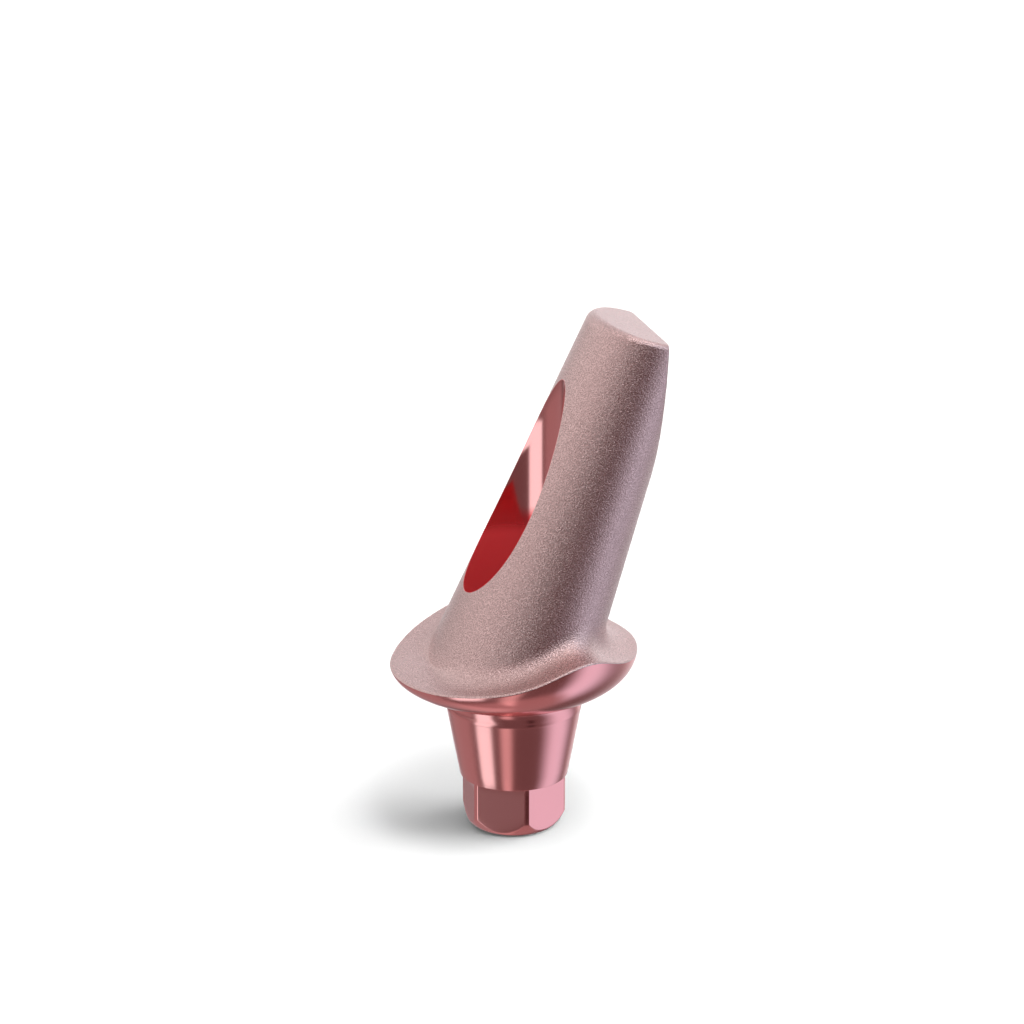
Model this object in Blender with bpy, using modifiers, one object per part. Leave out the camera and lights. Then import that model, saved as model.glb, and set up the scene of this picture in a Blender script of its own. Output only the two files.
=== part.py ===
"""Angled dental abutment, milled from one titanium bar.

The abutment stands upright, as it is fixed in an implant. Z is the implant's axis, Z = 0 is the wide end of the
sealing cone, the post leans towards +X, and Y = 0 is the mirror plane. From the bottom up it has:

- a hexagonal end with turned-down corners and a rounded foot, which stops the abutment turning in the implant
- a sealing cone
- a short neck and a polished bowl, which flares from the neck to the scalloped margin
- a shoulder of even width, rounded into the foot of the post
- an oval, tapered post that leans over, with a sloping top and a flat along its back
- a straight screw channel on the implant's axis, which breaks out of the leaning side of the post, with a flat
  seat for the head of the screw and a hole for its shank

Run it with: blender --background --python part.py
"""

import math

import bmesh
import bpy
import numpy as np

MM = 0.001

# Hexagonal end
HEX_ACROSS_FLATS = 2.085 * MM
HEX_CORNER_TRIM = 0.027 * MM
HEX_LENGTH = 1.205 * MM
FOOT_ROUND_WIDTH = 0.33 * MM
FOOT_ROUND_HEIGHT = 0.37 * MM
FOOT_ROUND_LEAN = math.radians(23)

# Sealing cone and neck
CONE_TOP_DIAMETER = 3.0 * MM
CONE_LENGTH = 1.59 * MM
CONE_END_STEP = 0.026 * MM
NECK_HEIGHT = 0.54 * MM
NECK_HOLLOW = 0.19 * MM

# The margin's least and most radius and height, and how it runs between them, half way round from the leaning side
# to the opening side: (degrees, share of the way out, share of the way up)
MARGIN_LEAST_RADIUS = 2.73 * MM
MARGIN_MOST_RADIUS = 3.11 * MM
MARGIN_LOW = 1.00 * MM
MARGIN_HIGH = 1.93 * MM
MARGIN_COURSE = (
    (0, 0.00, 0.39),
    (30, 0.02, 0.415),
    (55, 0.41, 0.73),
    (75, 1.00, 1.00),
    (95, 0.90, 0.61),
    (120, 0.40, 0.25),
    (150, 0.02, 0.04),
    (180, 0.04, 0.00),
)
MARGIN_EDGE = 0.03 * MM
BOWL_SWEEP = math.radians(84)
BOWL_ROOT = 0.15

# Shoulder and the radius of the round where it meets the post, which fades out on the opening's side
SHOULDER_RISE = 0.12 * MM
FILLET_RADIUS = 0.85 * MM
FILLET_OPENING_SIDE = 0.08 * MM
FILLET_FADE = math.radians(40)
FILLET_MOST_OF_SHOULDER = 0.9

# Leaning post: its axis crosses the implant's axis at POST_PIVOT_HEIGHT
POST_TILT = math.radians(21.2)
POST_PIVOT_HEIGHT = 1.20 * MM
POST_BASE_DEPTH = 3.36 * MM
POST_BASE_WIDTH = 4.65 * MM
POST_TAPER_DEPTH = math.radians(4.35)
POST_TAPER_WIDTH = math.radians(5.75)
POST_LENGTH = 7.81 * MM
TOP_SLOPE = math.radians(16.0)
TOP_ROUND = 0.22 * MM
BACK_FLAT_REACH = 2.75 * MM
BACK_FLAT_LEAN = math.radians(1.95)

# Screw channel
CHANNEL_DIAMETER = 2.20 * MM
SCREW_SEAT_DEPTH = 0.40 * MM
SCREW_HOLE_DIAMETER = 1.45 * MM

# Fineness of the faces
AROUND = 72
NECK_RINGS = 6
BOWL_RINGS = 11
FILLET_RINGS = 8
POST_RINGS = 5
ROUND_RINGS = 5
FOOT_RINGS = 8
SHARP_EDGE = math.radians(35)

TITANIUM_PINK = (0.52, 0.33, 0.32, 1.0)

# Worked out from the sizes above
NECK_RADIUS = CONE_TOP_DIAMETER / 2
HEX_CORNER_RADIUS = HEX_ACROSS_FLATS / 2 / math.cos(math.pi / 6)
PIN_RADIUS = HEX_CORNER_RADIUS - HEX_CORNER_TRIM
CONE_END_RADIUS = PIN_RADIUS + CONE_END_STEP
FOOT_HEIGHT = -CONE_LENGTH - HEX_LENGTH
SHOULDER_TOP = MARGIN_HIGH + SHOULDER_RISE + FILLET_RADIUS
CUTTER_OVERRUN = CHANNEL_DIAMETER


def clear_scene():
    for obj in list(bpy.data.objects):
        bpy.data.objects.remove(obj, do_unlink=True)


def make_collection(name, hidden=False):
    collection = bpy.data.collections.new(name)
    collection.hide_render = hidden
    bpy.context.scene.collection.children.link(collection)
    return collection


def add_object(name, mesh, collection):
    obj = bpy.data.objects.new(name, mesh)
    collection.objects.link(obj)
    if collection.hide_render:
        obj.hide_render = True
        obj.display_type = "WIRE"
    return obj


def boolean(obj, operation, tool):
    modifier = obj.modifiers.new(f"{operation.lower()}_{tool.name}", "BOOLEAN")
    modifier.operation = operation
    modifier.solver = "EXACT"
    modifier.object = tool
    return modifier


def turned(name, profile, collection):
    """A body turned about Z from (radius, height) points that run down its outer side."""
    mesh = bpy.data.meshes.new(name)
    points = [(radius, 0, height) for radius, height in profile]
    mesh.from_pydata(points, [(i, i + 1) for i in range(len(points) - 1)], [])
    obj = add_object(name, mesh, collection)
    screw = obj.modifiers.new("turn", "SCREW")
    screw.steps = AROUND
    screw.render_steps = AROUND
    screw.use_merge_vertices = True
    screw.merge_threshold = 1e-7
    return obj


def smooth_through(stations, values, at):
    """A cubic through the values at the stations, level at both ends, read at the angles `at`."""
    gap = np.diff(stations)
    rise = np.diff(values)
    count = len(stations)
    matrix = np.eye(count)
    right = np.zeros(count)
    for i in range(1, count - 1):
        matrix[i, i - 1 : i + 2] = (1 / gap[i - 1], 2 / gap[i - 1] + 2 / gap[i], 1 / gap[i])
        right[i] = 3 * (rise[i - 1] / gap[i - 1] ** 2 + rise[i] / gap[i] ** 2)
    slope = np.linalg.solve(matrix, right)
    k = np.clip(np.searchsorted(stations, at, side="right") - 1, 0, count - 2)
    t = (at - stations[k]) / gap[k]
    start = (1 + 2 * t) * (1 - t) ** 2 * values[k] + t * (1 - t) ** 2 * gap[k] * slope[k]
    end = t * t * (3 - 2 * t) * values[k + 1] + t * t * (t - 1) * gap[k] * slope[k + 1]
    return start + end


def margin_at(angle):
    """Radius and height of the margin at these angles round the implant's axis, the same on both sides of Y = 0."""
    degrees, out, up = np.array(MARGIN_COURSE).T
    stations = np.radians(degrees)
    folded = np.abs((angle + math.pi) % (2 * math.pi) - math.pi)
    radius = MARGIN_LEAST_RADIUS + (MARGIN_MOST_RADIUS - MARGIN_LEAST_RADIUS) * smooth_through(stations, out, folded)
    return radius, MARGIN_LOW + (MARGIN_HIGH - MARGIN_LOW) * smooth_through(stations, up, folded)


def ring(angle, radius, height):
    """Points round the implant's axis."""
    height = np.broadcast_to(height, angle.shape)
    return np.stack([radius * np.cos(angle), radius * np.sin(angle), height], axis=-1)


def post_frame():
    """The post's axis and the direction across it in the mirror plane."""
    along = np.array([math.sin(POST_TILT), 0, math.cos(POST_TILT)])
    across = np.array([math.cos(POST_TILT), 0, -math.sin(POST_TILT)])
    return along, across


def post_wall(angle, distance, inset=0.0):
    """Points of the oval, tapered wall at a distance up the post's axis from the pivot."""
    along, across = post_frame()
    depth = POST_BASE_DEPTH / 2 - distance * math.tan(POST_TAPER_DEPTH) - inset
    width = POST_BASE_WIDTH / 2 - distance * math.tan(POST_TAPER_WIDTH) - inset
    points = np.multiply.outer(distance, along) + np.multiply.outer(depth * np.cos(angle), across)
    points[:, 1] += width * np.sin(angle)
    points[:, 2] += POST_PIVOT_HEIGHT
    return points


def wall_distance_to(plane_normal, plane_offset, angle, inset=0.0):
    """How far up the post the wall meets the plane, for each angle round the post."""
    along, across = post_frame()
    normal = np.array(plane_normal)
    pivot = POST_PIVOT_HEIGHT * normal[2]
    lean = np.cos(angle) * (across @ normal)
    reach = plane_offset - pivot - (POST_BASE_DEPTH / 2 - inset) * lean
    return reach / (along @ normal - math.tan(POST_TAPER_DEPTH) * lean)


def bend(start, corner, end, steps):
    """A curve from start to end that leaves and arrives in the direction of the corner, without its first point."""
    for t in np.linspace(0, 1, steps + 1)[1:]:
        yield (1 - t) ** 2 * start + 2 * t * (1 - t) * corner + t * t * end


def cone_neck_and_bowl(angle):
    """Up the sealing cone and the hollow neck, and out along the bowl, part of an ellipse, to the margin."""
    radius, height = margin_at(angle)

    def bowl(turn):
        out = math.sin(turn) / math.sin(BOWL_SWEEP)
        up = (1 - math.cos(turn)) / (1 - math.cos(BOWL_SWEEP))
        return ring(angle, NECK_RADIUS + (radius - NECK_RADIUS) * out, NECK_HEIGHT + (height - NECK_HEIGHT) * up)

    root = BOWL_ROOT * BOWL_SWEEP
    foot = ring(angle, NECK_RADIUS, 0.0)
    hollow = ring(angle, NECK_RADIUS - NECK_HOLLOW, NECK_HEIGHT)
    yield ring(angle, CONE_END_RADIUS, -CONE_LENGTH)
    yield foot
    yield from bend(foot, hollow, bowl(root), NECK_RINGS)
    for turn in np.linspace(root, BOWL_SWEEP, BOWL_RINGS + 1)[1:]:
        yield bowl(turn)


def fillet_reach(angle, outward, upward):
    """From the corner to where the round touches the shoulder and the post: radius / tan(half the corner's angle)."""
    share = np.clip(np.abs(angle - math.pi) / FILLET_FADE, 0, 1)
    radius = FILLET_OPENING_SIDE + (FILLET_RADIUS - FILLET_OPENING_SIDE) * share * share * (3 - 2 * share)
    width = np.linalg.norm(outward, axis=1)
    cosine = (outward * upward).sum(axis=1) / (width * np.linalg.norm(upward, axis=1))
    return np.minimum(radius * np.sqrt((1 + cosine) / (1 - cosine)), FILLET_MOST_OF_SHOULDER * width)


def shoulder_and_post(angle):
    """From the rounded edge of the margin in over the shoulder, up the post and over its rounded edge to the top."""
    radius, height = margin_at(angle)
    edge = ring(angle, radius - MARGIN_EDGE, height + MARGIN_EDGE)
    foot = wall_distance_to((0, 0, 1), height + SHOULDER_RISE, angle)
    corner = post_wall(angle, foot)
    outward = edge - corner
    reach = fillet_reach(angle, outward, post_wall(angle, foot + POST_LENGTH) - corner)
    start = corner + outward * (reach / np.linalg.norm(outward, axis=1))[:, None]
    low = foot + reach
    yield edge
    yield start
    yield from bend(start, corner, post_wall(angle, low), FILLET_RINGS)

    along, _ = post_frame()
    slope = (math.sin(TOP_SLOPE), 0, math.cos(TOP_SLOPE))
    top_offset = (POST_LENGTH * along + (0, 0, POST_PIVOT_HEIGHT)) @ slope
    high = wall_distance_to(slope, top_offset, angle) - TOP_ROUND
    for share in np.linspace(0, 1, POST_RINGS + 1)[1:]:
        yield post_wall(angle, low + (high - low) * share)
    for turn in np.linspace(0, math.pi / 2, ROUND_RINGS + 1)[1:]:
        inset = TOP_ROUND * (1 - math.cos(turn))
        top = wall_distance_to(slope, top_offset, angle, inset)
        yield post_wall(angle, top - TOP_ROUND * (1 - math.sin(turn)), inset)


def lofted_body(name, collection):
    """Cone, neck, bowl, shoulder and post in one loft, closed by a flat face at each end."""
    angle = np.arange(AROUND) * (2 * math.pi / AROUND)
    rings = [*cone_neck_and_bowl(angle), *shoulder_and_post(angle)]
    last = (len(rings) - 1) * AROUND
    faces = [tuple(range(AROUND))[::-1], tuple(range(last, last + AROUND))]
    for row in range(len(rings) - 1):
        for i in range(AROUND):
            low = row * AROUND
            j = (i + 1) % AROUND
            faces.append((low + i, low + j, low + AROUND + j, low + AROUND + i))
    mesh = bpy.data.meshes.new(name)
    mesh.from_pydata(np.concatenate(rings).tolist(), [], faces)
    return add_object(name, mesh, collection)


def hexagonal_end(collection):
    """A turned pin with a rounded foot, milled to a hexagon: the corners keep the pin's turned surface."""
    inside = -CONE_LENGTH / 2
    start = np.array([PIN_RADIUS, FOOT_HEIGHT + FOOT_ROUND_HEIGHT])
    corner = np.array([PIN_RADIUS - FOOT_ROUND_HEIGHT * math.tan(FOOT_ROUND_LEAN), FOOT_HEIGHT])
    end = np.array([PIN_RADIUS - FOOT_ROUND_WIDTH, FOOT_HEIGHT])
    profile = [(0, inside), (PIN_RADIUS, inside), start, *bend(start, corner, end, FOOT_RINGS), (0, FOOT_HEIGHT)]
    pin = turned("hexagonal_end", profile, collection)

    mesh = bpy.data.meshes.new("hexagon")
    solid = bmesh.new()
    bmesh.ops.create_cone(
        solid,
        cap_ends=True,
        segments=6,
        radius1=HEX_CORNER_RADIUS,
        radius2=HEX_CORNER_RADIUS,
        depth=2 * (HEX_LENGTH + CONE_LENGTH),
    )
    solid.to_mesh(mesh)
    solid.free()
    hexagon = add_object("hexagon", mesh, collection)
    hexagon.location.z = -CONE_LENGTH
    boolean(pin, "INTERSECT", hexagon)
    return pin


def back_flat_cutter(collection):
    """A block whose near side is the flat along the back of the post. It stays above the shoulder."""
    size = POST_LENGTH + POST_BASE_WIDTH
    mesh = bpy.data.meshes.new("back_flat")
    block = bmesh.new()
    bmesh.ops.create_cube(block, size=size)
    for vertex in block.verts:
        vertex.co.x += size / 2
        vertex.co.z += size / 2
        height = vertex.co.z + SHOULDER_TOP
        vertex.co.x += BACK_FLAT_REACH + height * math.tan(BACK_FLAT_LEAN)
        vertex.co.z = height
    block.to_mesh(mesh)
    block.free()
    return add_object("back_flat", mesh, collection)


def channel_cutter(collection):
    """The straight screw channel, its flat seat and the hole through the hexagonal end."""
    channel = CHANNEL_DIAMETER / 2
    hole = SCREW_HOLE_DIAMETER / 2
    above = POST_PIVOT_HEIGHT + POST_LENGTH + CUTTER_OVERRUN
    below = FOOT_HEIGHT - CUTTER_OVERRUN
    seat = -SCREW_SEAT_DEPTH
    profile = [(0, above), (channel, above), (channel, seat), (hole, seat), (hole, below), (0, below)]
    return turned("screw_channel", profile, collection)


def anodised_titanium():
    material = bpy.data.materials.new("anodised_titanium")
    material.use_nodes = True
    surface = material.node_tree.nodes["Principled BSDF"]
    surface.inputs["Base Color"].default_value = TITANIUM_PINK
    surface.inputs["Metallic"].default_value = 1.0
    surface.inputs["Roughness"].default_value = 0.35
    material.diffuse_color = TITANIUM_PINK
    return material


def main():
    clear_scene()
    parts = make_collection("dental_abutment")
    tools = make_collection("tools", hidden=True)
    abutment = lofted_body("abutment", parts)
    abutment.data.materials.append(anodised_titanium())
    abutment.data.shade_smooth()
    abutment.data.set_sharp_from_angle(angle=SHARP_EDGE)
    boolean(abutment, "UNION", hexagonal_end(tools))
    boolean(abutment, "DIFFERENCE", back_flat_cutter(tools))
    boolean(abutment, "DIFFERENCE", channel_cutter(tools))


if __name__ == "__main__":
    main()
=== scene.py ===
"""Angled dental abutment: the fine surface, its finishes and a small studio.

The abutment is one closed surface. Its outside is a stack of rings round the implant's axis, from the
rounded foot of the hexagonal end up to the sloping top of the post. Its inside is a second stack, from the
foot up through the screw hole and the channel to the opening in the side of the post, where it joins the
outside. Z is the implant's axis, Z = 0 is the wide end of the sealing cone, the post leans towards +X, and
Y = 0 is the mirror plane.
"""

import math

import bpy
import numpy as np
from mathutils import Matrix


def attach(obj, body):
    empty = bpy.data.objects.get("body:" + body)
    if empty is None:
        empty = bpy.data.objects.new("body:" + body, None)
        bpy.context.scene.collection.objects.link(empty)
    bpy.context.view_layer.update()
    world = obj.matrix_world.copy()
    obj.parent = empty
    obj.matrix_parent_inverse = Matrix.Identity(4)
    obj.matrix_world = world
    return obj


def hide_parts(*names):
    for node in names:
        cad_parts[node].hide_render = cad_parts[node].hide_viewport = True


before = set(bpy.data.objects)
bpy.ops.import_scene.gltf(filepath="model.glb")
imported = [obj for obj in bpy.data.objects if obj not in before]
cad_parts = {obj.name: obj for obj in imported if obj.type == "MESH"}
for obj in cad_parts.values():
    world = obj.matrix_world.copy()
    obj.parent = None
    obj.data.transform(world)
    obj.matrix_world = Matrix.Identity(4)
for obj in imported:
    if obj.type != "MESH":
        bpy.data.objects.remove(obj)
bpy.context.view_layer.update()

bl_info = {
    "name": "Dental abutment",
    "version": (1, 0, 0),
    "blender": (4, 5, 0),
    "location": "3D View > Sidebar > Abutment",
    "description": "Makes an angled dental abutment with its polished and blasted finishes",
    "category": "Add Mesh",
}

MM = 0.001

# How finely the surface is divided, where the patch round the opening lies, and the shares and steps by
# which its rings are found
SECTORS = 6
FLAT_STEPS = 16
CORNER_STEPS = 3
EDGE_OFFSETS = (-1.0, -0.5, 0.0, 0.5, 1.0)
FOOT_RINGS = 14
HEXAGON_RINGS = 6
CONE_RINGS = 6
NECK_RINGS = 10
BOWL_RINGS = 36
SHOULDER_RINGS = 6
FILLET_RINGS = 22
WALL_RINGS = 76
ROUND_RINGS = 12
TOP_RINGS = 12
HOLE_RINGS = 6
SEAT_APPROACH = 40
CHANNEL_RINGS = 24
PATCH_RINGS = 12
PATCH_HALF_WIDTH = 38
PATCH_FIRST_RING = 6
SOLVER_STEPS = 48
MOST_EASE = 0.45
EASE_STEPS = 3
LIP_BELOW = 0.99
HUB_SHARE = 0.6
LEAST_REACH = 0.001 * MM
FAR_SHARE = 9.0

# How far the finishes' colours and roughness drift, the sizes and strengths of their textures, and a few
# plain shades
COLOUR_DRIFT = 0.03
CLOUD_SCALE = 700.0
LINE_SCALE = 42000.0
LINE_ROUGHNESS = 0.05
LINE_STRENGTH = 0.12
LINE_DEPTH = 0.002 * MM
PIT_SHARE = 0.7
PIT_DETAIL_ROUGHNESS = 0.55
FINE_SCALE = 2.3
CREST_START = 0.38
CREST_END = 0.62
# Painted shade: the blasted colour is darker in the pits and paler on the crests, following the relief
PAINTED_PIT_SHADE = 0.80
PAINTED_CREST_LIGHT = 1.15
PIT_ROUGHNESS = 0.08
DEEP_METALLIC = 0.1
FLOOR_SHADE = (0.95, 0.95, 0.95, 1.0)
BLACK = (0.0, 0.0, 0.0)
WHITE = (1.0, 1.0, 1.0)

# Degrees round from the leaning side, share of the way out, share of the way up
MARGIN_STATIONS = (
    (0, 0.00, 0.39),
    (30, 0.02, 0.415),
    (55, 0.41, 0.73),
    (75, 1.00, 1.00),
    (95, 0.90, 0.61),
    (120, 0.40, 0.25),
    (150, 0.02, 0.04),
    (180, 0.04, 0.00),
)

# The panels that metal mirrors. In degrees: the azimuth of the middle PANEL_LEVEL degrees below the horizon,
# half the width, the lower and the upper edge, and how softly it ends sideways and upwards. Then the azimuth
# that it gains with each degree up, and its light. The last one is a black flag, so its light is negative.
PANELS = (
    (-161, 16.2, -51, -0.3, 5, 7.5, 0.39, (1.15, 1.50, 1.51)),
    (-117.3, 11, -85, -36, 14, 14, 0.17, (0.68, 0.60, 0.59)),
    (-11.2, 26.3, -63, 5, 41.4, 9.5, -0.24, (0.79, 0.98, 1.18)),
    (153, 49.7, -4.3, 58, 4.4, 15.9, -0.19, (0.92, 1.01, 1.00)),
    (66.9, 31.5, -29.2, 106, 30.8, 45.6, -0.21, (1.02, 1.12, 1.15)),
    (0, 200, 76.8, 80.8, 20, 21.9, 0, (4.20, 4.42, 4.27)),
    (-0.1, 14, 4.5, 70.8, 13.5, 9, -0.24, (1.37, 1.78, 1.99)),
    (0, 200, -98, -63, 20, 15.8, 0, (0.25, 0.18, 0.18)),
    (140, 32.6, -84.4, -13.7, 21.7, 8.9, 0.62, (0.26, 0.22, 0.22)),
    (-157.5, 24.6, 35.2, 65.1, 28.6, 21.4, 0.15, (0.55, 0.47, 0.47)),
    (-64.3, 27.4, 17.9, 67.4, 27.9, 22.4, 0.29, (0.75, 0.95, 1.09)),
    (-104, 30, 52, 80, 20, 14, 0, (2.8, 3.3, 3.4)),
    (-75, 6, -28, -10, 10, 10, 0, (-0.12, -0.10, -0.10)),
)
PANEL_LEVEL = 30
PANEL_GLOW = (0.172, 0.118, 0.119)
# The soft boxes that light the floor, with the same sizes and one brightness
SOFT_BOXES = (
    (-4, 29, -30, 32, 12, 8, 0, 8.0),
    (-71, 22, 51, 100, 12, 6, 0, 8.0),
)
FLOOR_GLOW = 0.64


def length(name, millimetres, description):
    return bpy.props.FloatProperty(
        name=name,
        description=description,
        default=millimetres * MM,
        min=0.0,
        precision=5,
        unit="LENGTH",
    )


def angle(name, degrees, description):
    return bpy.props.FloatProperty(
        name=name,
        description=description,
        default=math.radians(degrees),
        subtype="ANGLE",
    )


def factor(name, value, description):
    return bpy.props.FloatProperty(
        name=name,
        description=description,
        default=value,
        min=0.0,
        max=1.0,
        subtype="FACTOR",
    )


def colour(name, value, description):
    return bpy.props.FloatVectorProperty(
        name=name,
        description=description,
        default=value,
        size=3,
        min=0.0,
        max=1.0,
        subtype="COLOR",
    )


class AbutmentConnection(bpy.types.PropertyGroup):
    """The end that sits in the implant."""

    across_flats: length("Across flats", 2.085, "Width of the hexagon across its flats")
    corner_trim: length("Corner trim", 0.027, "How much is turned off the hexagon's corners")
    hexagon_length: length("Hexagon length", 1.205, "From the cone's narrow end to the foot")
    foot_round_width: length("Foot round width", 0.33, "How far in the foot's round reaches")
    foot_round_height: length("Foot round height", 0.37, "How far up the foot's round reaches")
    foot_round_lean: angle("Foot round lean", 23.0, "Angle at which the foot's round leaves the corners")
    cone_top: length("Cone width", 3.0, "Diameter of the sealing cone's wide end")
    cone_length: length("Cone length", 1.59, "Height of the sealing cone")
    cone_end_step: length("Cone past corners", 0.026, "How far the cone's end stands past the corners")
    edge_ease: length("Edge rounding", 0.012, "Rounding of the hexagon's and the cone's edges")


class AbutmentCollar(bpy.types.PropertyGroup):
    """Neck, bowl, margin and shoulder."""

    neck_height: length("Neck height", 0.46, "Height of the hollow neck")
    neck_hollow: length("Neck hollow", 0.112, "How far the neck draws in")
    least_radius: length("Margin radius, least", 2.73, "The margin's reach in front and behind")
    most_radius: length("Margin radius, most", 3.11, "The margin's reach at its wings, on both sides")
    low: length("Margin height, low", 1.00, "Height of the margin at the opening side")
    high: length("Margin height, high", 1.93, "Height of the margin at its wings")
    margin_edge: length("Margin edge", 0.03, "Rounding of the margin")
    bowl_sweep: angle("Bowl sweep", 84.0, "How far round its ellipse the bowl goes, level at the neck")
    bowl_root: factor("Bowl root", 0.15, "Share of the bowl's reach that the neck runs into")
    shoulder_rise: length("Shoulder rise", 0.12, "How much the shoulder climbs towards the post")
    fillet: length("Fillet", 0.85, "Radius of the fillet round the foot of the post")
    fillet_opening: length("Fillet, opening side", 0.08, "Radius of the fillet on the opening's side")
    fillet_fade: angle("Fillet fade", 40.0, "How far from the opening's side the fillet has its full radius")
    fillet_most: factor("Fillet share", 0.9, "Most of the shoulder that the fillet takes")


class AbutmentPost(bpy.types.PropertyGroup):
    """The leaning post."""

    tilt: angle("Tilt", 21.2, "Lean of the post from the implant's axis")
    pivot_height: length("Pivot height", 1.20, "Height where the post's axis crosses the implant's axis")
    base_depth: length("Depth at pivot", 3.36, "Depth of the oval at the pivot")
    base_width: length("Width at pivot", 4.65, "Width of the oval at the pivot")
    taper_depth: angle("Taper in depth", 4.35, "Taper of the wall on the leaning and the opening side")
    taper_width: angle("Taper in width", 5.75, "Taper of the wall at the sides")
    post_length: length("Length", 7.81, "From the pivot to the middle of the top")
    top_slope: angle("Top slope", 16.0, "Slope of the top face")
    top_round: length("Top rounding", 0.12, "Rounding of the top's edge")
    top_round_opening: length("Top rounding, opening side", 0.22, "Rounding on the opening's side")
    flat_reach: length("Back flat reach", 2.75, "Distance of the back flat from the axis at Z = 0")
    flat_lean: angle("Back flat lean", 1.95, "Lean of the back flat")
    flat_ease: length("Back flat edge", 0.06, "Rounding where the flat meets the wall")


class AbutmentChannel(bpy.types.PropertyGroup):
    """The screw channel."""

    width: length("Channel width", 2.20, "Diameter of the screw channel")
    seat_depth: length("Seat depth", 0.40, "Depth of the screw's seat below Z = 0")
    hole: length("Screw hole", 1.45, "Diameter of the hole for the screw's shank")
    rim_ease: length("Rim rounding", 0.018, "Rounding of the opening's rim")


class AbutmentFinish(bpy.types.PropertyGroup):
    """Colours and textures."""

    polished_colour: colour("Polished", (0.85, 0.356, 0.352), "Colour of the polished, anodised titanium")
    polished_roughness: factor("Polish", 0.19, "Roughness of the polished titanium")
    blasted_colour: colour("Blasted", (0.59, 0.387, 0.377), "Colour of the blasted titanium")
    blasted_roughness: factor("Blast roughness", 0.285, "Roughness of the blasted titanium")
    grain: length("Grain", 0.034, "Size of the blasting's pits")
    pit_depth: length("Pit depth", 0.021, "Depth of the blasting's pits")
    channel_roughness: factor("Channel's polish", 0.15, "Roughness of the channel's walls")
    # Painted reflection: a deep red that stands in for light thrown to and fro between the channel's walls
    painted_deep_reflection: colour("Deep", (0.5, 0.03, 0.035), "Colour deep in the channel")
    # Painted glow: the deep walls emit light, standing in for the light that they throw to and fro
    painted_deep_glow: colour("Deep glow", (0.115, 0.011, 0.012), "Light that the walls throw to and fro")
    deep_below: length("Deep below", 3.60, "Height below which the channel has its deep colour")
    clear_above: length("Clear above", 4.32, "Height above which the channel has the polished colour")


class AbutmentStudio(bpy.types.PropertyGroup):
    """Camera and light."""

    lens: bpy.props.FloatProperty(
        name="Lens", description="Focal length", default=116.02, subtype="DISTANCE_CAMERA"
    )
    distance: length("Camera distance", 71.79, "From the camera to the point that it looks at")
    turn: angle("Camera turn", 14.36, "How far the camera is turned to the opening side")
    height_angle: angle("Camera height", 18.44, "How steeply the camera looks down")
    aim_side: bpy.props.FloatProperty(
        name="Aim sideways",
        description="How far to its right the camera aims",
        default=-0.040 * MM,
        unit="LENGTH",
        precision=5,
    )
    aim_height: length("Aim height", 4.486, "Height of the point that the camera looks at")
    floor_size: length("Floor size", 4000.0, "Side of the floor")


def smooth_least(first, second, blend):
    """The lesser of two values, rounded over `blend` where they cross."""
    share = np.clip(0.5 + 0.5 * (second - first) / blend, 0, 1)
    return second * (1 - share) + first * share - blend * share * (1 - share)


def fade(share):
    """A smooth climb from 0 to 1."""
    share = np.clip(share, 0, 1)
    return share * share * (3 - 2 * share)


def smooth_through(stations, values, at):
    """A cubic through the values at the stations, level at both ends, read at the angles `at`."""
    gap = np.diff(stations)
    rise = np.diff(values)
    count = len(stations)
    matrix = np.eye(count)
    right = np.zeros(count)
    for i in range(1, count - 1):
        matrix[i, i - 1 : i + 2] = (1 / gap[i - 1], 2 / gap[i - 1] + 2 / gap[i], 1 / gap[i])
        right[i] = 3 * (rise[i - 1] / gap[i - 1] ** 2 + rise[i] / gap[i] ** 2)
    slope = np.linalg.solve(matrix, right)
    k = np.clip(np.searchsorted(stations, at, side="right") - 1, 0, count - 2)
    t = (at - stations[k]) / gap[k]
    start = (1 + 2 * t) * (1 - t) ** 2 * values[k] + t * (1 - t) ** 2 * gap[k] * slope[k]
    end = t * t * (3 - 2 * t) * values[k + 1] + t * t * (t - 1) * gap[k] * slope[k + 1]
    return start + end


def ring(turn, radius, height):
    """Points at a radius and a height round the implant's axis, at the angles `turn`."""
    return np.stack(np.broadcast_arrays(radius * np.cos(turn), radius * np.sin(turn), height), axis=-1)


def bend(start, corner, end, steps):
    """A parabola that leaves start and reaches end along the lines to the corner.

    It is (1 - t)^2 start + 2t(1 - t) corner + t^2 end.
    """
    t = np.linspace(0, 1, steps + 1)[:, None, None]
    return (1 - t) ** 2 * start + 2 * t * (1 - t) * corner + t * t * end


def eased(before, corner, after, width):
    """A corner ring turned into close rings, which round it by `width`, or less near a neighbour."""
    ends = []
    for beside in (before, after):
        away = beside - corner
        reach = np.linalg.norm(away, axis=-1, keepdims=True)
        ends.append(corner + away * np.minimum(width / reach, MOST_EASE))
    return bend(ends[0], corner, ends[1], EASE_STEPS)


def between(start, end, steps):
    """Rings spread evenly from start to end, without the two ends."""
    t = np.linspace(0, 1, steps + 1)[1:-1, None, None]
    return start + (end - start) * t


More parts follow.
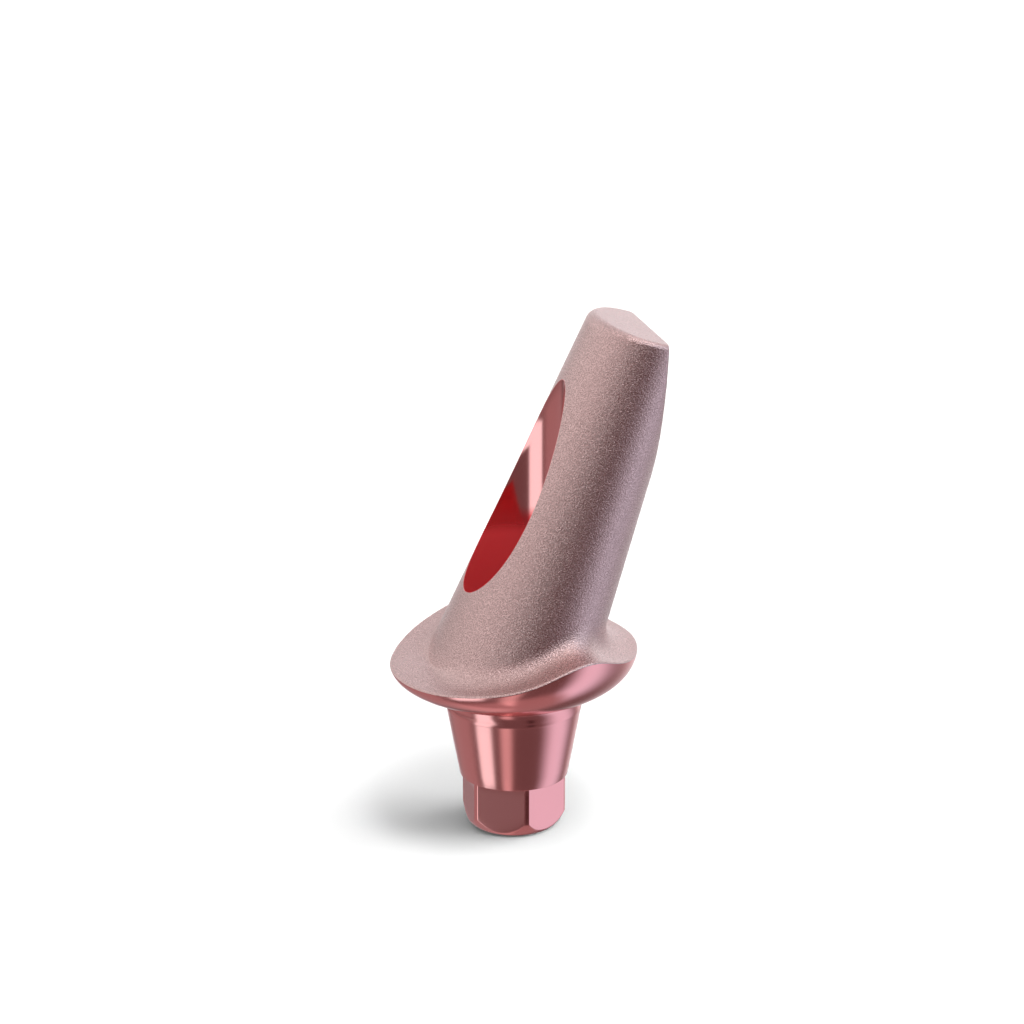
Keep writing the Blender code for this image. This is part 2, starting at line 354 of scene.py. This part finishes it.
class Form:
    """The abutment's form, worked out from the sizes."""

    def __init__(self, scene):
        self.end = scene.abutment_connection
        self.collar = scene.abutment_collar
        self.post = scene.abutment_post
        self.channel = scene.abutment_channel
        self.corner = self.end.across_flats / 2 / math.cos(math.pi / SECTORS)
        self.pin = self.corner - self.end.corner_trim
        self.cone_end = self.pin + self.end.cone_end_step
        self.foot = -self.end.cone_length - self.end.hexagon_length
        self.break_angle = math.acos(self.end.across_flats / 2 / self.pin)
        self.turn = self.angles()
        self.along = np.array([math.sin(self.post.tilt), 0, math.cos(self.post.tilt)])
        self.across = np.array([math.cos(self.post.tilt), 0, -math.sin(self.post.tilt)])
        self.pivot = np.array([0, 0, self.post.pivot_height])
        self.top_normal = np.array([math.sin(self.post.top_slope), 0, math.cos(self.post.top_slope)])
        self.top_offset = (self.post.post_length * self.along + self.pivot) @ self.top_normal

    def angles(self):
        """Angles round the axis, in six like sectors, close together at the hexagon's edges."""
        sector = 2 * math.pi / SECTORS
        step = self.end.edge_ease / self.pin
        flat = np.linspace(0, self.break_angle - 2 * step, FLAT_STEPS + 1)
        edge = self.break_angle + step * np.array(EDGE_OFFSETS)
        corner = np.linspace(self.break_angle + 2 * step, sector - self.break_angle - 2 * step, CORNER_STEPS)
        half = np.concatenate([flat, edge, corner])
        one = np.concatenate([half, sector - edge[::-1], sector - flat[:0:-1]])
        return (one + np.arange(SECTORS)[:, None] * sector).ravel()

    def hexagon_radius(self):
        """Polar radius of the hexagon's section: the lesser of the turned pin and the nearest flat."""
        sector = 2 * math.pi / SECTORS
        from_flat = (self.turn + sector / 2) % sector - sector / 2
        flat = self.end.across_flats / 2 / np.cos(from_flat)
        return smooth_least(flat, np.full_like(flat, self.pin), self.end.edge_ease / 2)

    def foot_rings(self, section):
        """From the foot's flat ring up its round, a parabola, until each point meets the hexagon's section.

        inward = 2t(1 - t) corner + t^2 width and up = (1 - t)^2 height, with t = 0 at the hexagon's corners.
        """
        width = self.end.foot_round_width
        height = self.end.foot_round_height
        corner = height * math.tan(self.end.foot_round_lean)
        inward = self.pin - section
        meets = inward / (corner + np.sqrt(corner * corner + (width - 2 * corner) * inward))
        t = 1 + (meets - 1) * np.linspace(0, 1, FOOT_RINGS + 1)[:, None]
        radius = self.pin - 2 * t * (1 - t) * corner - t * t * width
        return ring(self.turn, radius, self.foot + (1 - t) ** 2 * height)

    def margin(self):
        """Radius and height of the margin: a cubic through the stations, mirrored in Y = 0."""
        degrees, out, up = np.array(MARGIN_STATIONS).T
        folded = np.abs((self.turn + math.pi) % (2 * math.pi) - math.pi)
        radius = self.collar.least_radius + (self.collar.most_radius - self.collar.least_radius) * out
        height = self.collar.low + (self.collar.high - self.collar.low) * up
        stations = np.radians(degrees)
        return smooth_through(stations, radius, folded), smooth_through(stations, height, folded)

    def bowl(self, swing, radius, height):
        """An ellipse: radius = neck + (margin - neck) sin(swing), and height the same with 1 - cos(swing).

        Both are scaled to reach the margin where the swing is the whole sweep.
        """
        neck = self.end.cone_top / 2
        out = np.sin(swing) / math.sin(self.collar.bowl_sweep)
        up = (1 - np.cos(swing)) / (1 - math.cos(self.collar.bowl_sweep))
        reach = neck + (radius - neck) * out
        climb = self.collar.neck_height + (height - self.collar.neck_height) * up
        return ring(self.turn, reach, climb)

    def wall(self, turn, distance, inset=0.0):
        """The post's wall: an oval that tapers along the leaning axis, drawn in at the back flat.

        Each point is hub + share * spoke. The hub stands off the axis on the opening's side, clear of the
        flat, and the share is the lesser of 1 and room / reach, both measured square to the flat.
        """
        depth = self.post.base_depth / 2 - distance * math.tan(self.post.taper_depth) - inset
        width = self.post.base_width / 2 - distance * math.tan(self.post.taper_width) - inset
        hub = self.pivot + np.multiply.outer(distance, self.along)
        hub = hub - np.multiply.outer(depth * HUB_SHARE, self.across)
        spoke = np.multiply.outer(depth * (np.cos(turn) + HUB_SHARE), self.across)
        spoke[..., 1] += width * np.sin(turn)
        slant = math.tan(self.post.flat_lean)
        reach = spoke[..., 0] - slant * spoke[..., 2]
        room = self.post.flat_reach - (hub[..., 0] - slant * hub[..., 2])
        share = np.where(reach > LEAST_REACH, room / np.maximum(reach, LEAST_REACH), FAR_SHARE)
        return hub + smooth_least(share, np.ones_like(share), self.post.flat_ease / depth)[..., None] * spoke

    def wall_distance(self, normal, offset, inset=0.0):
        """How far up the post each line of the wall meets a plane, by halving the interval."""
        low = np.full_like(self.turn, -2 * self.post.base_depth)
        high = np.full_like(self.turn, 2 * self.post.post_length)
        offset = np.broadcast_to(offset, self.turn.shape)
        for _ in range(SOLVER_STEPS):
            middle = (low + high) / 2
            past = self.wall(self.turn, middle, inset) @ normal > offset
            high = np.where(past, middle, high)
            low = np.where(past, low, middle)
        return (low + high) / 2

    def rim(self, turn):
        """Where the channel's wall breaks out of the post's, as (angle, distance), by halving the interval.

        At y to the side, the post's wall stands depth * sqrt(1 - (y / width)^2) off the leaning axis.
        """
        x = self.channel.width / 2 * np.cos(turn)
        y = self.channel.width / 2 * np.sin(turn)
        low = np.full_like(turn, -self.post.base_depth)
        high = np.full_like(turn, self.post.post_length)
        for _ in range(SOLVER_STEPS):
            distance = (low + high) / 2
            depth = self.post.base_depth / 2 - distance * math.tan(self.post.taper_depth)
            width = self.post.base_width / 2 - distance * math.tan(self.post.taper_width)
            inward = np.sqrt(np.clip(1 - (y / width) ** 2, 0, 1))
            past = distance * self.along[0] - depth * inward * self.across[0] > x
            high = np.where(past, distance, high)
            low = np.where(past, low, distance)
        return math.pi - np.arctan2(y / width, inward), distance

    def connection(self):
        """Rings from the screw hole's lower edge, over the foot, up the hexagon and up the cone."""
        ease = self.end.edge_ease
        section = self.hexagon_radius()
        foot = self.foot_rings(section)
        hexagon_top = ring(self.turn, section, -self.end.cone_length)
        cone_low = ring(self.turn, self.cone_end, -self.end.cone_length)
        cone_high = ring(self.turn, self.end.cone_top / 2, 0.0)
        hole = ring(self.turn, self.channel.hole / 2, self.foot)
        arc = eased(foot[-2], foot[-1], hexagon_top, ease)
        throat = eased(foot[-1], hexagon_top, cone_low, 2 * ease)
        low = eased(hexagon_top, cone_low, cone_high, ease)
        high = eased(cone_low, cone_high, self.neck(1)[0], ease / 2)
        return [
            hole[None],
            foot[:-1],
            arc,
            between(arc[-1], throat[0], HEXAGON_RINGS),
            throat,
            low,
            between(low[-1], high[0], CONE_RINGS),
            high,
        ]

    def neck(self, steps):
        """Rings up the hollow neck, from just above the cone's edge to the bowl's root."""
        radius, height = self.margin()
        root = self.collar.bowl_root * self.collar.bowl_sweep
        foot = ring(self.turn, self.end.cone_top / 2, 0.0)
        hollow = ring(self.turn, self.end.cone_top / 2 - self.collar.neck_hollow, self.collar.neck_height)
        return bend(foot, hollow, self.bowl(np.array([[root]]), radius, height)[0], steps)[1:]

    def neck_and_bowl(self):
        """Rings up the hollow neck and out along the bowl, as far as the margin."""
        radius, height = self.margin()
        sweep = self.collar.bowl_sweep
        swing = np.linspace(self.collar.bowl_root * sweep, sweep, BOWL_RINGS + 1)[:, None]
        return [self.neck(NECK_RINGS), self.bowl(swing, radius, height)[1:-1]]

    def fillet_reach(self, outward, upward):
        """From the corner to where the fillet's arc touches its sides: radius / tan(half the corner)."""
        share = fade(np.abs(self.turn - math.pi) / self.collar.fillet_fade)
        radius = self.collar.fillet_opening + (self.collar.fillet - self.collar.fillet_opening) * share
        width = np.linalg.norm(outward, axis=1)
        cosine = (outward * upward).sum(axis=1) / (width * np.linalg.norm(upward, axis=1))
        return np.minimum(radius * np.sqrt((1 + cosine) / (1 - cosine)), self.collar.fillet_most * width)

    def collar_rings(self):
        """Rings over the rounded margin, in along the shoulder and up the fillet into the post's wall."""
        radius, height = self.margin()
        sweep = self.collar.bowl_sweep
        below, outer = self.bowl(sweep * np.array([[LIP_BELOW], [1.0]]), radius, height)
        foot = self.wall_distance(np.array([0, 0, 1.0]), height + self.collar.shoulder_rise)
        corner = self.wall(self.turn, foot)
        edge = ring(self.turn, radius - self.collar.margin_edge, height + self.collar.margin_edge)
        outward = edge - corner
        reach = self.fillet_reach(outward, self.wall(self.turn, foot + self.post.post_length) - corner)
        start = corner + outward * (reach / np.linalg.norm(outward, axis=1))[:, None]
        low = foot + reach
        lip = eased(below, outer, edge, self.collar.margin_edge / 3)
        brow = eased(outer, edge, start, self.collar.margin_edge / 3)
        fillet = bend(start, corner, self.wall(self.turn, low), FILLET_RINGS)
        return [lip, brow, between(brow[-1], start, SHOULDER_RINGS), fillet], low

    def top_round(self):
        """Radius of the top's rounded edge, which grows towards the opening's side."""
        share = fade(2 * np.abs(self.turn - math.pi) / math.pi)
        return self.post.top_round_opening + (self.post.top_round - self.post.top_round_opening) * share

    def top(self):
        """Rings over the round at the top of the wall and in across the sloping top."""
        swing = np.linspace(0, math.pi / 2, ROUND_RINGS + 1)[1:]
        radius = self.top_round()
        rows = []
        for turn in swing:
            inset = radius * (1 - math.cos(turn))
            drop = radius * (1 - math.sin(turn))
            distance = self.wall_distance(self.top_normal, self.top_offset, inset) - drop
            rows.append(self.wall(self.turn, distance, inset))
        middle = rows[-1].mean(axis=0)
        centre = np.broadcast_to(middle, rows[-1].shape)
        brow = eased(rows[-2], rows[-1], centre, self.post.flat_ease)
        return [np.array(rows[:-1]), brow, between(brow[-1], centre, TOP_RINGS)], middle


def closed_quads(rows):
    """Faces between neighbouring rings of vertex numbers, closed round."""
    low = rows[:-1]
    high = rows[1:]
    return np.stack([low, np.roll(low, -1, axis=1), np.roll(high, -1, axis=1), high], axis=-1).reshape(-1, 4)


def border_walk(rows, columns, half_width, first, count):
    """Rows and columns of the grid points round a rectangle, from its top's middle by the low columns."""
    last = first + count
    middle = columns // 2
    left = middle - half_width
    right = middle + half_width
    top_left = [(last, c) for c in range(middle, left, -1)]
    down = [(r, left) for r in range(last, first, -1)]
    bottom = [(first, c) for c in range(left, right)]
    up = [(r, right) for r in range(first, last)]
    top_right = [(last, c) for c in range(right, middle, -1)]
    return np.array(top_left + down + bottom + up + top_right).T


def abutment_surface(form):
    """Vertices, faces and finishes of the closed surface. The finishes are 0 polished, 1 blasted, 2 channel.

    A rectangle of the wall's grid is left out, and rings from its border in to the channel's rim fill it.
    """
    around = len(form.turn)
    polished = np.concatenate(form.connection() + form.neck_and_bowl())
    collar, low = form.collar_rings()
    high = form.wall_distance(form.top_normal, form.top_offset) - form.top_round()
    share = np.linspace(0, 1, WALL_RINGS + 1)
    distance = low + (high - low) * share[:, None]
    wall = form.wall(np.broadcast_to(form.turn, distance.shape), distance)
    top, middle = form.top()
    collar = np.concatenate(collar)[:-1]
    outside = np.concatenate([polished, collar, wall, *top])
    first_wall = len(polished) + len(collar)

    patch_rings = around // 2 - 2 * PATCH_HALF_WIDTH
    row, column = border_walk(WALL_RINGS, around, PATCH_HALF_WIDTH, PATCH_FIRST_RING, patch_rings)
    sideways = (column - around // 2) / PATCH_HALF_WIDTH
    upward = (row - PATCH_FIRST_RING) / patch_rings * 2 - 1
    rim_turn = np.unwrap(np.arctan2(-sideways, upward))
    rim_angle, rim_distance = form.rim(rim_turn)
    fold = np.where(np.sin(rim_turn) < 0, -1, 1)
    border_angle = form.turn[column]
    border_distance = distance[row, column]
    t = np.linspace(0, 1, PATCH_RINGS + 1)[:-1, None]
    patch = form.wall(
        rim_angle + (border_angle - rim_angle) * t,
        rim_distance + (border_distance - rim_distance) * t,
    )
    rim = patch[0]

    radius = form.channel.width / 2
    seat = -form.channel.seat_depth
    hole_low = outside[0]
    hole_high = ring(form.turn, form.channel.hole / 2, seat)
    seat_edge = ring(form.turn, radius, seat)
    depth = np.linspace(0, 1, CHANNEL_RINGS + 1)[1:, None]
    walk = form.turn + (rim_turn - form.turn) * depth
    channel = ring(walk, radius, seat + (rim[:, 2] - seat) * depth)
    ease = form.channel.rim_ease
    inside = np.concatenate(
        [
            between(hole_low, hole_high, HOLE_RINGS),
            eased(between(hole_low, hole_high, SEAT_APPROACH)[-1], hole_high, seat_edge, ease),
            seat_edge[None],
            channel[:-1],
            eased(channel[-2], rim, patch[1], ease),
            patch[1:],
        ]
    )

    points = np.concatenate([outside.reshape(-1, 3), middle[None], inside.reshape(-1, 3)])
    out_rows = np.arange(outside.shape[0] * around).reshape(-1, around)
    pole = out_rows.size
    in_rows = pole + 1 + np.arange(inside.shape[0] * around).reshape(-1, around)
    border = out_rows[first_wall + row, column]
    in_rows = np.concatenate([out_rows[:1], in_rows, border[None]])

    quads = closed_quads(out_rows)
    of_row, of_column = np.divmod(np.arange(len(quads)), around)
    wall_row = of_row - first_wall
    in_patch = (wall_row >= PATCH_FIRST_RING) & (wall_row < PATCH_FIRST_RING + patch_rings)
    in_patch &= np.abs(of_column + 0.5 - around // 2) < PATCH_HALF_WIDTH
    finish = (of_row >= len(polished)).astype(int)
    inner = closed_quads(in_rows)[:, ::-1]
    inner_finish = np.where(np.arange(len(inner)) // around < len(in_rows) - 1 - PATCH_RINGS, 2, 1)
    cap = np.stack([out_rows[-1], np.roll(out_rows[-1], -1), np.full(around, pole)], axis=-1)
    quads = np.concatenate([quads[~in_patch], inner])
    finish = np.concatenate([finish[~in_patch], inner_finish, np.ones(around, int)])
    return points, quads, cap, finish


def mesh_from(name, points, quads, triangles, finish):
    """A mesh of the points that the faces use, with each face's finish as its material slot."""
    loops = np.concatenate([quads.ravel(), triangles.ravel()])
    used, loops = np.unique(loops, return_inverse=True)
    sizes = np.concatenate([np.full(len(quads), 4), np.full(len(triangles), 3)])
    mesh = bpy.data.meshes.new(name)
    mesh.vertices.add(len(used))
    mesh.vertices.foreach_set("co", points[used].astype(np.float32).ravel())
    mesh.loops.add(len(loops))
    mesh.loops.foreach_set("vertex_index", loops.astype(np.int32).ravel())
    mesh.polygons.add(len(sizes))
    mesh.polygons.foreach_set("loop_start", (np.cumsum(sizes) - sizes).astype(np.int32))
    mesh.polygons.foreach_set("material_index", finish.astype(np.int32))
    mesh.update(calc_edges=True)
    mesh.shade_smooth()
    return mesh


class Value:
    """A shader socket that Python's operators work on. Each operator adds a Math node."""

    def __init__(self, tree, socket):
        self.tree = tree
        self.socket = socket

    def node(self, kind, settings=(), outlet=0, **inlets):
        """A new node's outlet. Settings come first, then each inlet's value or link, by name or number."""
        made = self.tree.nodes.new(kind)
        for name, value in dict(settings).items():
            setattr(made, name, value)
        for name, value in inlets.items():
            key = int(name[1:]) if name[0] == "n" and name[1:].isdigit() else name.replace("_", " ")
            inlet = made.inputs[key]
            if isinstance(value, Value):
                self.tree.links.new(value.socket, inlet)
            else:
                inlet.default_value = value
        return Value(self.tree, made.outputs[outlet])

    def maths(self, operation, first, second=0.0, third=0.0):
        return self.node("ShaderNodeMath", {"operation": operation}, n0=first, n1=second, n2=third)

    def __add__(self, other):
        return self.maths("ADD", self, other)

    def __radd__(self, other):
        return self.maths("ADD", other, self)

    def __sub__(self, other):
        return self.maths("SUBTRACT", self, other)

    def __rsub__(self, other):
        return self.maths("SUBTRACT", other, self)

    def __mul__(self, other):
        return self.maths("MULTIPLY", self, other)

    def __rmul__(self, other):
        return self.maths("MULTIPLY", other, self)

    def mix(self, first, second):
        """The colour `first` where this value is 0 and `second` where it is 1."""
        mixed = self.node("ShaderNodeMix", {"data_type": "RGBA"}, outlet=2, n0=self)
        for number, shade in ((6, first), (7, second)):
            inlet = mixed.socket.node.inputs[number]
            if isinstance(shade, Value):
                self.tree.links.new(shade.socket, inlet)
            else:
                inlet.default_value = (*shade[:3], 1.0)
        return mixed

    def window(self, start, end):
        """0 below start, 1 above end and a smooth climb between them."""
        return self.node(
            "ShaderNodeMapRange",
            {"interpolation_type": "SMOOTHSTEP"},
            Value=self,
            n1=start,
            n2=end,
            n3=0.0,
            n4=1.0,
        )


def new_material(name):
    material = bpy.data.materials.new(name)
    material.use_nodes = True
    tree = material.node_tree
    surface = tree.nodes["Principled BSDF"]
    place = tree.nodes.new("ShaderNodeTexCoord").outputs["Object"]
    return material, tree, surface, Value(tree, place)


def join(tree, value, inlet):
    tree.links.new(value.socket, inlet)


def shade_times(shade, amount):
    return tuple(min(1.0, part * amount) for part in shade)


def channel_titanium(finish):
    """The channel's walls. Deep down a painted deep-red reflection and a painted glow stand in for light
    thrown to and fro.
    """
    material, tree, surface, place = new_material("channel_titanium")
    height = place.node("ShaderNodeSeparateXYZ", outlet=2, Vector=place)
    middle = (finish.deep_below + finish.clear_above) / 2
    mirror = height.window(finish.deep_below, middle)
    clear = height.window(middle, finish.clear_above)
    # Painted reflection: deep red low in the channel, the polished colour near the opening
    shade = clear.mix(tuple(finish.painted_deep_reflection), tuple(finish.polished_colour))
    join(tree, shade, surface.inputs["Base Color"])
    join(tree, mirror * (1 - DEEP_METALLIC) + DEEP_METALLIC, surface.inputs["Metallic"])
    # Painted glow deep in the channel, none near the opening
    join(tree, clear.mix(tuple(finish.painted_deep_glow), BLACK), surface.inputs["Emission Color"])
    surface.inputs["Emission Strength"].default_value = 1.0
    surface.inputs["Roughness"].default_value = finish.channel_roughness
    return material


def polished_titanium(finish):
    """Pink anodised titanium, turned and polished: fine lines round the axis and a drift in colour."""
    material, tree, surface, place = new_material("polished_titanium")
    shade = tuple(finish.polished_colour)
    cloud = place.node("ShaderNodeTexNoise", Vector=place, Scale=CLOUD_SCALE, Detail=2.0)
    height = place.node("ShaderNodeSeparateXYZ", outlet=2, Vector=place)
    line = place.node("ShaderNodeCombineXYZ", X=0.0, Y=0.0, Z=height)
    lines = place.node("ShaderNodeTexNoise", Vector=line, Scale=LINE_SCALE, Detail=1.0)
    drift = cloud.mix(shade_times(shade, 1 - COLOUR_DRIFT), shade_times(shade, 1 + COLOUR_DRIFT))
    join(tree, drift, surface.inputs["Base Color"])
    rough = lines * LINE_ROUGHNESS + (finish.polished_roughness - LINE_ROUGHNESS / 2)
    join(tree, rough, surface.inputs["Roughness"])
    surface.inputs["Metallic"].default_value = 1.0
    bump = place.node("ShaderNodeBump", Height=lines, Strength=LINE_STRENGTH, Distance=LINE_DEPTH)
    join(tree, bump, surface.inputs["Normal"])
    return material


def blasted_titanium(finish):
    """Grit-blasted titanium: packed pits of two sizes, with painted shade: darker pits and paler crests."""
    material, tree, surface, place = new_material("blasted_titanium")
    shade = tuple(finish.blasted_colour)
    grain = 1 / finish.grain
    pits = place.node(
        "ShaderNodeTexNoise", Vector=place, Scale=grain, Detail=2.0, Roughness=PIT_DETAIL_ROUGHNESS
    )
    fine = place.node("ShaderNodeTexNoise", Vector=place, Scale=FINE_SCALE * grain, Detail=1.0)
    relief = pits * PIT_SHARE + fine * (1 - PIT_SHARE)
    crest = relief.window(CREST_START, CREST_END)
    # Painted shade that follows the relief: darker in the pits, paler on the crests
    grain_and_painted_shade = crest.mix(shade_times(shade, PAINTED_PIT_SHADE), shade_times(shade, PAINTED_CREST_LIGHT))
    join(tree, grain_and_painted_shade, surface.inputs["Base Color"])
    rough = finish.blasted_roughness + PIT_ROUGHNESS / 2 - crest * PIT_ROUGHNESS
    join(tree, rough, surface.inputs["Roughness"])
    surface.inputs["Metallic"].default_value = 1.0
    bump = place.node("ShaderNodeBump", Height=relief, Strength=1.0, Distance=finish.pit_depth)
    join(tree, bump, surface.inputs["Normal"])
    return material


class ABUTMENT_OT_body(bpy.types.Operator):
    """Makes the abutment's closed surface with its three finishes"""

    bl_idname = "abutment.body"
    bl_label = "Abutment"

    def execute(self, context):
        form = Form(context.scene)
        mesh = mesh_from("abutment_body", *abutment_surface(form))
        finish = context.scene.abutment_finish
        mesh.materials.append(polished_titanium(finish))
        mesh.materials.append(blasted_titanium(finish))
        mesh.materials.append(channel_titanium(finish))
        body = bpy.data.objects.new("abutment_body", mesh)
        context.scene.collection.objects.link(body)
        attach(body, "root")
        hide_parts("abutment")
        return {"FINISHED"}


def add_floor(scene, studio):
    """A pale floor at the foot's height."""
    foot = -scene.abutment_connection.cone_length - scene.abutment_connection.hexagon_length
    half = studio.floor_size / 2
    mesh = bpy.data.meshes.new("floor")
    corners = [(-half, -half, foot), (half, -half, foot), (half, half, foot), (-half, half, foot)]
    mesh.from_pydata(corners, [], [(0, 1, 2, 3)])
    floor = bpy.data.objects.new("floor", mesh)
    scene.collection.objects.link(floor)
    material = bpy.data.materials.new("floor")
    material.use_nodes = True
    surface = material.node_tree.nodes["Principled BSDF"]
    surface.inputs["Base Color"].default_value = FLOOR_SHADE
    surface.inputs["Roughness"].default_value = 1.0
    surface.inputs["Specular IOR Level"].default_value = 0.0
    mesh.materials.append(material)
    floor.visible_glossy = False
    floor.visible_shadow = False


def add_camera(scene, studio):
    camera = bpy.data.objects.new("camera", bpy.data.cameras.new("camera"))
    scene.collection.objects.link(camera)
    camera.data.lens = studio.lens
    camera.data.sensor_width = 36.0
    camera.data.clip_start = 0.002
    camera.data.clip_end = 20.0
    turn = studio.turn
    down = studio.height_angle
    side = np.array([math.cos(turn), -math.sin(turn), 0.0])
    ahead = np.array([math.sin(turn) * math.cos(down), math.cos(turn) * math.cos(down), -math.sin(down)])
    aim = side * studio.aim_side + np.array([0.0, 0.0, studio.aim_height])
    camera.location = aim - ahead * studio.distance
    camera.rotation_euler = (math.pi / 2 - down, 0.0, -turn)
    scene.camera = camera


def panel(azimuth, elevation, middle, half, low, high, side_soft, rise_soft, slant):
    """1 inside a soft-edged panel of the room and 0 outside it: the product of three smooth steps."""
    aside = azimuth - elevation * slant - math.radians(middle + PANEL_LEVEL * slant)
    aside = aside.maths("WRAP", aside, math.pi, -math.pi)
    aside = aside.maths("ABSOLUTE", aside)
    side = math.radians(side_soft / 2)
    rise = math.radians(rise_soft / 2)
    wide = aside.window(math.radians(half) + side, math.radians(half) - side)
    above = elevation.window(math.radians(low) - rise, math.radians(low) + rise)
    below = elevation.window(math.radians(high) + rise, math.radians(high) - rise)
    return wide * above * below


def add_light(scene):
    """A pale room with no lamps. Metal mirrors soft panels in it, and two soft boxes light the floor."""
    scene.view_settings.view_transform = "Standard"
    scene.cycles.caustics_reflective = False
    world = bpy.data.worlds.new("studio")
    scene.world = world
    world.use_nodes = True
    world.cycles.sampling_method = "NONE"
    tree = world.node_tree
    ray = tree.nodes.new("ShaderNodeLightPath").outputs
    place = Value(tree, tree.nodes.new("ShaderNodeTexCoord").outputs["Generated"])
    x = place.node("ShaderNodeSeparateXYZ", outlet=0, Vector=place)
    y = place.node("ShaderNodeSeparateXYZ", outlet=1, Vector=place)
    z = place.node("ShaderNodeSeparateXYZ", outlet=2, Vector=place)
    azimuth = y.maths("ARCTAN2", y, x)
    elevation = z.maths("ARCSINE", z)
    shade = PANEL_GLOW
    sums = {"operation": "MULTIPLY_ADD"}
    for *sizes, tint in PANELS:
        level = panel(azimuth, elevation, *sizes)
        shade = place.node("ShaderNodeVectorMath", sums, n0=level, n1=tint, n2=shade)
    box = FLOOR_GLOW
    for *sizes, strength in SOFT_BOXES:
        box = panel(azimuth, elevation, *sizes) * strength + box
    floor = box.mix(BLACK, WHITE)
    floor.socket.node.clamp_factor = False
    light = Value(tree, ray["Is Glossy Ray"]).mix(floor, shade)
    light = Value(tree, ray["Is Camera Ray"]).mix(light, WHITE)
    join(tree, light, tree.nodes["Background"].inputs["Color"])


class ABUTMENT_OT_studio(bpy.types.Operator):
    """Makes the pale floor, the soft light and the camera"""

    bl_idname = "abutment.studio"
    bl_label = "Studio"

    def execute(self, context):
        scene = context.scene
        add_floor(scene, scene.abutment_studio)
        add_camera(scene, scene.abutment_studio)
        add_light(scene)
        return {"FINISHED"}


GROUPS = {
    "abutment_connection": AbutmentConnection,
    "abutment_collar": AbutmentCollar,
    "abutment_post": AbutmentPost,
    "abutment_channel": AbutmentChannel,
    "abutment_finish": AbutmentFinish,
    "abutment_studio": AbutmentStudio,
}
OPERATORS = (ABUTMENT_OT_body, ABUTMENT_OT_studio)


class ABUTMENT_PT_panel(bpy.types.Panel):
    """The abutment's sizes, colours and pieces."""

    bl_idname = "ABUTMENT_PT_panel"
    bl_label = "Dental abutment"
    bl_space_type = "VIEW_3D"
    bl_region_type = "UI"
    bl_category = "Abutment"

    def draw(self, context):
        layout = self.layout
        for operator in OPERATORS:
            layout.operator(operator.bl_idname)
        for name, group in GROUPS.items():
            box = layout.box()
            box.label(text=group.__doc__)
            for size in group.__annotations__:
                box.prop(getattr(context.scene, name), size)


def register():
    for group in GROUPS.values():
        bpy.utils.register_class(group)
    for operator in OPERATORS:
        bpy.utils.register_class(operator)
    bpy.utils.register_class(ABUTMENT_PT_panel)
    for name, group in GROUPS.items():
        setattr(bpy.types.Scene, name, bpy.props.PointerProperty(type=group))


def unregister():
    for name in GROUPS:
        delattr(bpy.types.Scene, name)
    bpy.utils.unregister_class(ABUTMENT_PT_panel)
    for operator in reversed(OPERATORS):
        bpy.utils.unregister_class(operator)
    for group in reversed(list(GROUPS.values())):
        bpy.utils.unregister_class(group)


def main():
    register()
    bpy.ops.abutment.body()
    bpy.ops.abutment.studio()


if __name__ == "__main__":
    main()
